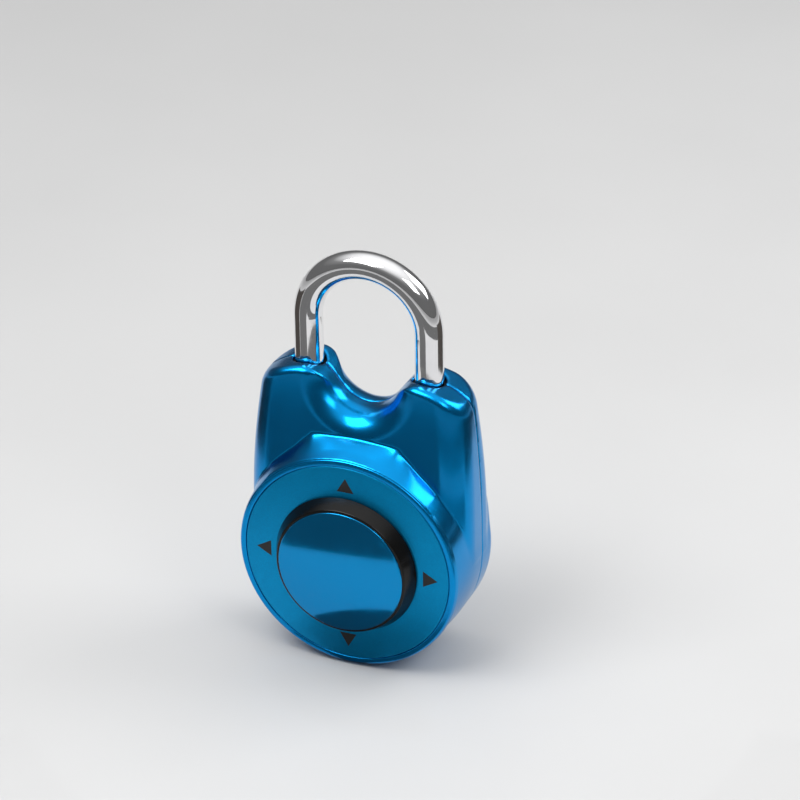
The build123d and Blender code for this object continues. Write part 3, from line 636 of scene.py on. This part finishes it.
def moulded_black():
    paint = Paint("black_moulded")
    grain = paint.noise(8.0, 3.0)
    paint.colour(paint.mix(grain, (0.012, 0.012, 0.013), (0.03, 0.03, 0.032)))
    paint.roughness(paint.ramp(grain, (0.3, 0.4), (0.7, 0.55)))
    paint.bump(grain, 0.15, 0.02)
    return paint.material


def metal(name, dark, light, low, high, stretch=(1.0, 1.0, 1.0)):
    paint = Paint(name)
    paint.set(Metallic=1.0)
    grain = paint.noise(3.0, 5.0, 0.6, paint.stretched(*stretch))
    paint.colour(paint.mix(grain, dark, light))
    paint.roughness(paint.ramp(grain, (0.3, low), (0.7, high)))
    paint.bump(grain, 0.1, 0.02)
    return paint.material


finishes = {
    "case_blue": blue_case(),
    "disc_blue": blue_disc(),
    "cap_blue": blue_cap(),
    "skirt_black": black_gloss(),
    "arrow_black": black_print(),
    "shackle_chrome": chrome(),
    "black_plastic": moulded_black(),
    "brass": metal("wheel_brass", (0.55, 0.38, 0.14), (0.75, 0.56, 0.26), 0.25, 0.4),
    "spring_steel": metal("spring_wire", (0.35, 0.35, 0.37), (0.55, 0.55, 0.57), 0.2, 0.35),
    "zinc": metal("cast_zinc", (0.38, 0.39, 0.41), (0.52, 0.53, 0.55), 0.45, 0.6),
    "steel": metal("stamped_steel", (0.42, 0.42, 0.44), (0.62, 0.62, 0.64), 0.25, 0.42, (0.3, 1.0, 2.0)),
}


def finish(obj, name):
    obj.data.materials.clear()
    obj.data.materials.append(finishes[name])


for part in frame["record"]["subparts"]:
    finish(nodes[part["node"]], part["material_slot"])
for piece in (front_skin, rear_skin, rim, disc, arrows, skirt, cap):
    finish(piece, piece["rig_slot"])

# ---------------------------------------------------------------- camera, at the photograph's angle of view
AZIMUTH = math.radians(22.707)
ELEVATION = math.radians(29.252)
ROLL = math.radians(-0.793)
DISTANCE = 972.73
SIDE, RISE = 12.76, 39.10

back = Vector((
    math.sin(AZIMUTH) * math.cos(ELEVATION),
    -math.cos(AZIMUTH) * math.cos(ELEVATION),
    math.sin(ELEVATION),
))
level = Vector((math.cos(AZIMUTH), math.sin(AZIMUTH), 0))
upright = back.cross(level)
right = level * math.cos(ROLL) + upright * math.sin(ROLL)
up = upright * math.cos(ROLL) - level * math.sin(ROLL)
eye = Vector((0, FACE_Y, DIAL_Z)) + back * DISTANCE + right * SIDE + up * RISE

camera_data = bpy.data.cameras.new("camera")
camera_data.lens = 183.02
camera_data.sensor_width = 36
camera_data.clip_start = 0.05
camera_data.clip_end = 10
camera = bpy.data.objects.new("camera", camera_data)
turned = Matrix((right, up, back)).transposed().to_4x4()
camera.matrix_world = Matrix.Translation(eye * MM) @ turned
bpy.context.scene.collection.objects.link(camera)
bpy.context.scene.camera = camera


# ---------------------------------------------------------------- floor and light, in metres and watts
def area_light(name, place, target, size, power):
    """Rectangular light at place, turned to target."""
    data = bpy.data.lights.new(name, "AREA")
    data.shape = "RECTANGLE"
    data.size, data.size_y = size
    data.energy = power
    obj = bpy.data.objects.new(name, data)
    obj.location = place
    aim = Vector(target) - Vector(place)
    obj.rotation_euler = aim.to_track_quat("-Z", "Y").to_euler()
    bpy.context.scene.collection.objects.link(obj)
    return obj


middle = (0, -0.01, -0.05)
for name, place, size, brightness in (
    ("key_above", (-0.18, -0.26, 0.42), (0.36, 0.26), 5.5),
    ("right_key", (0.36, -0.24, 0.34), (0.2, 0.2), 3.5),
    ("side_key", (0.39, 0.27, 0.32), (0.36, 0.30), 4.0),
):
    area_light(name, place, middle, size, math.pi * size[0] * size[1] * brightness)
floor_fill = area_light("floor_fill", (-0.25, -0.25, 1.15), middle, (0.9, 0.9), 2.2)
floor_fill.visible_glossy = False

world = bpy.data.worlds.new("studio")
world.use_nodes = True
sky = world.node_tree
direction = sky.nodes.new("ShaderNodeSeparateXYZ")
sky.links.new(sky.nodes.new("ShaderNodeTexCoord").outputs["Generated"], direction.inputs[0])
shade = sky.nodes.new("ShaderNodeValToRGB")
levels = ((0.0, 0.14), (0.35, 0.15), (0.55, 0.25), (0.8, 0.95), (1.0, 1.3))
while len(shade.color_ramp.elements) < len(levels):
    shade.color_ramp.elements.new(0.5)
for element, (height, level_of_light) in zip(shade.color_ramp.elements, levels):
    element.position = height
    element.color = (level_of_light, level_of_light, level_of_light, 1)
sky.links.new(direction.outputs["Z"], shade.inputs["Fac"])
sky.links.new(shade.outputs["Color"], sky.nodes["Background"].inputs["Color"])
sky.nodes["Background"].inputs["Strength"].default_value = 1.0
bpy.context.scene.world = world
bpy.context.scene.view_settings.view_transform = "Standard"

floor_paint = Paint("pale_floor")
tone = floor_paint.noise(0.01, 3.0)
floor_paint.colour(floor_paint.mix(tone, (0.57, 0.57, 0.57), (0.61, 0.61, 0.61)))
floor_paint.roughness(floor_paint.ramp(tone, (0.3, 0.6), (0.7, 0.75)))
FLOOR_Z = DIAL_Z - DRUM_R - 0.3
FLOOR_HALF = 3000.0
corners = [(FLOOR_HALF * sx, FLOOR_HALF * sy, FLOOR_Z) for sx, sy in ((-1, -1), (1, -1), (1, 1), (-1, 1))]
floor = new_object("floor", corners, [(0, 1, 2, 3)], smooth=False)
floor.data.materials.append(floor_paint.material)

CARD_CENTRE = (10, -10)
CARD_LIFT = 1.0
CARD_STEPS = 24


def card_piece(name, tone, sectors):
    """Dark card lying on the floor round the lock, seen only in reflections.

    Each sector of a ring is its near and far distance, and the directions it lies between,
    in degrees from the front.
    """
    paint = Paint(name)
    paint.colour(paint.mix(paint.noise(0.02), tone, tuple(1.4 * value for value in tone)))
    paint.set(Roughness=0.9)
    vertices, faces = [], []
    for near, far, start, end in sectors:
        first = len(vertices)
        for turn in np.radians(np.linspace(start, end, CARD_STEPS + 1)):
            for distance in (near, far):
                x = CARD_CENTRE[0] + distance * math.sin(turn)
                y = CARD_CENTRE[1] - distance * math.cos(turn)
                vertices.append((x, y, FLOOR_Z + CARD_LIFT))
        for k in range(CARD_STEPS):
            a = first + 2 * k
            faces.append((a, a + 2, a + 3, a + 1))
    card = new_object(name, vertices, faces, smooth=False)
    card.data.materials.append(paint.material)
    card.visible_camera = False
    card.visible_diffuse = False
    card.visible_shadow = False
    card.visible_transmission = False
    card.visible_volume_scatter = False


GREY_SECTORS = ((92, 132, -50, 92), (132, 420, -58, -4), (188, 420, -4, 95), (8, 32, -65, 40))
BROWN_SECTORS = ((150, 500, 95, 150), (150, 500, -110, -60))
card_piece("grey_cards", (0.085, 0.085, 0.085), GREY_SECTORS)
card_piece("brown_cards", (0.030, 0.024, 0.020), BROWN_SECTORS)
